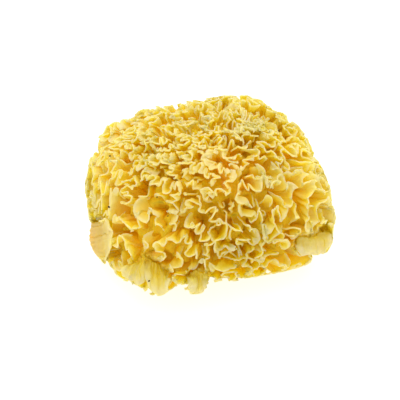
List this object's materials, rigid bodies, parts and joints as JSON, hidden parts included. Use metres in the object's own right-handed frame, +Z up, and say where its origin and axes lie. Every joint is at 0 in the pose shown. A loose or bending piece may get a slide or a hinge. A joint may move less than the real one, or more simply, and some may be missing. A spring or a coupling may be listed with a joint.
{
  "type": "dried snow fungus",
  "caption": "Whole dried snow fungus head: a mound of thin golden ruffled fronds on a small flat cut foot.",
  "frame": {"origin": "middle of the flat cut under the foot", "axes": "+Z up out of the cut, +X along the head's longer side"},
  "size_m": [0.1137, 0.1042, 0.0638],
  "materials": {
    "membrane": "thin dry translucent membrane, golden with pale cream edges"
  },
  "bodies": {
    "root": {"fruiting_body": "membrane"}
  },
  "joints": []
}
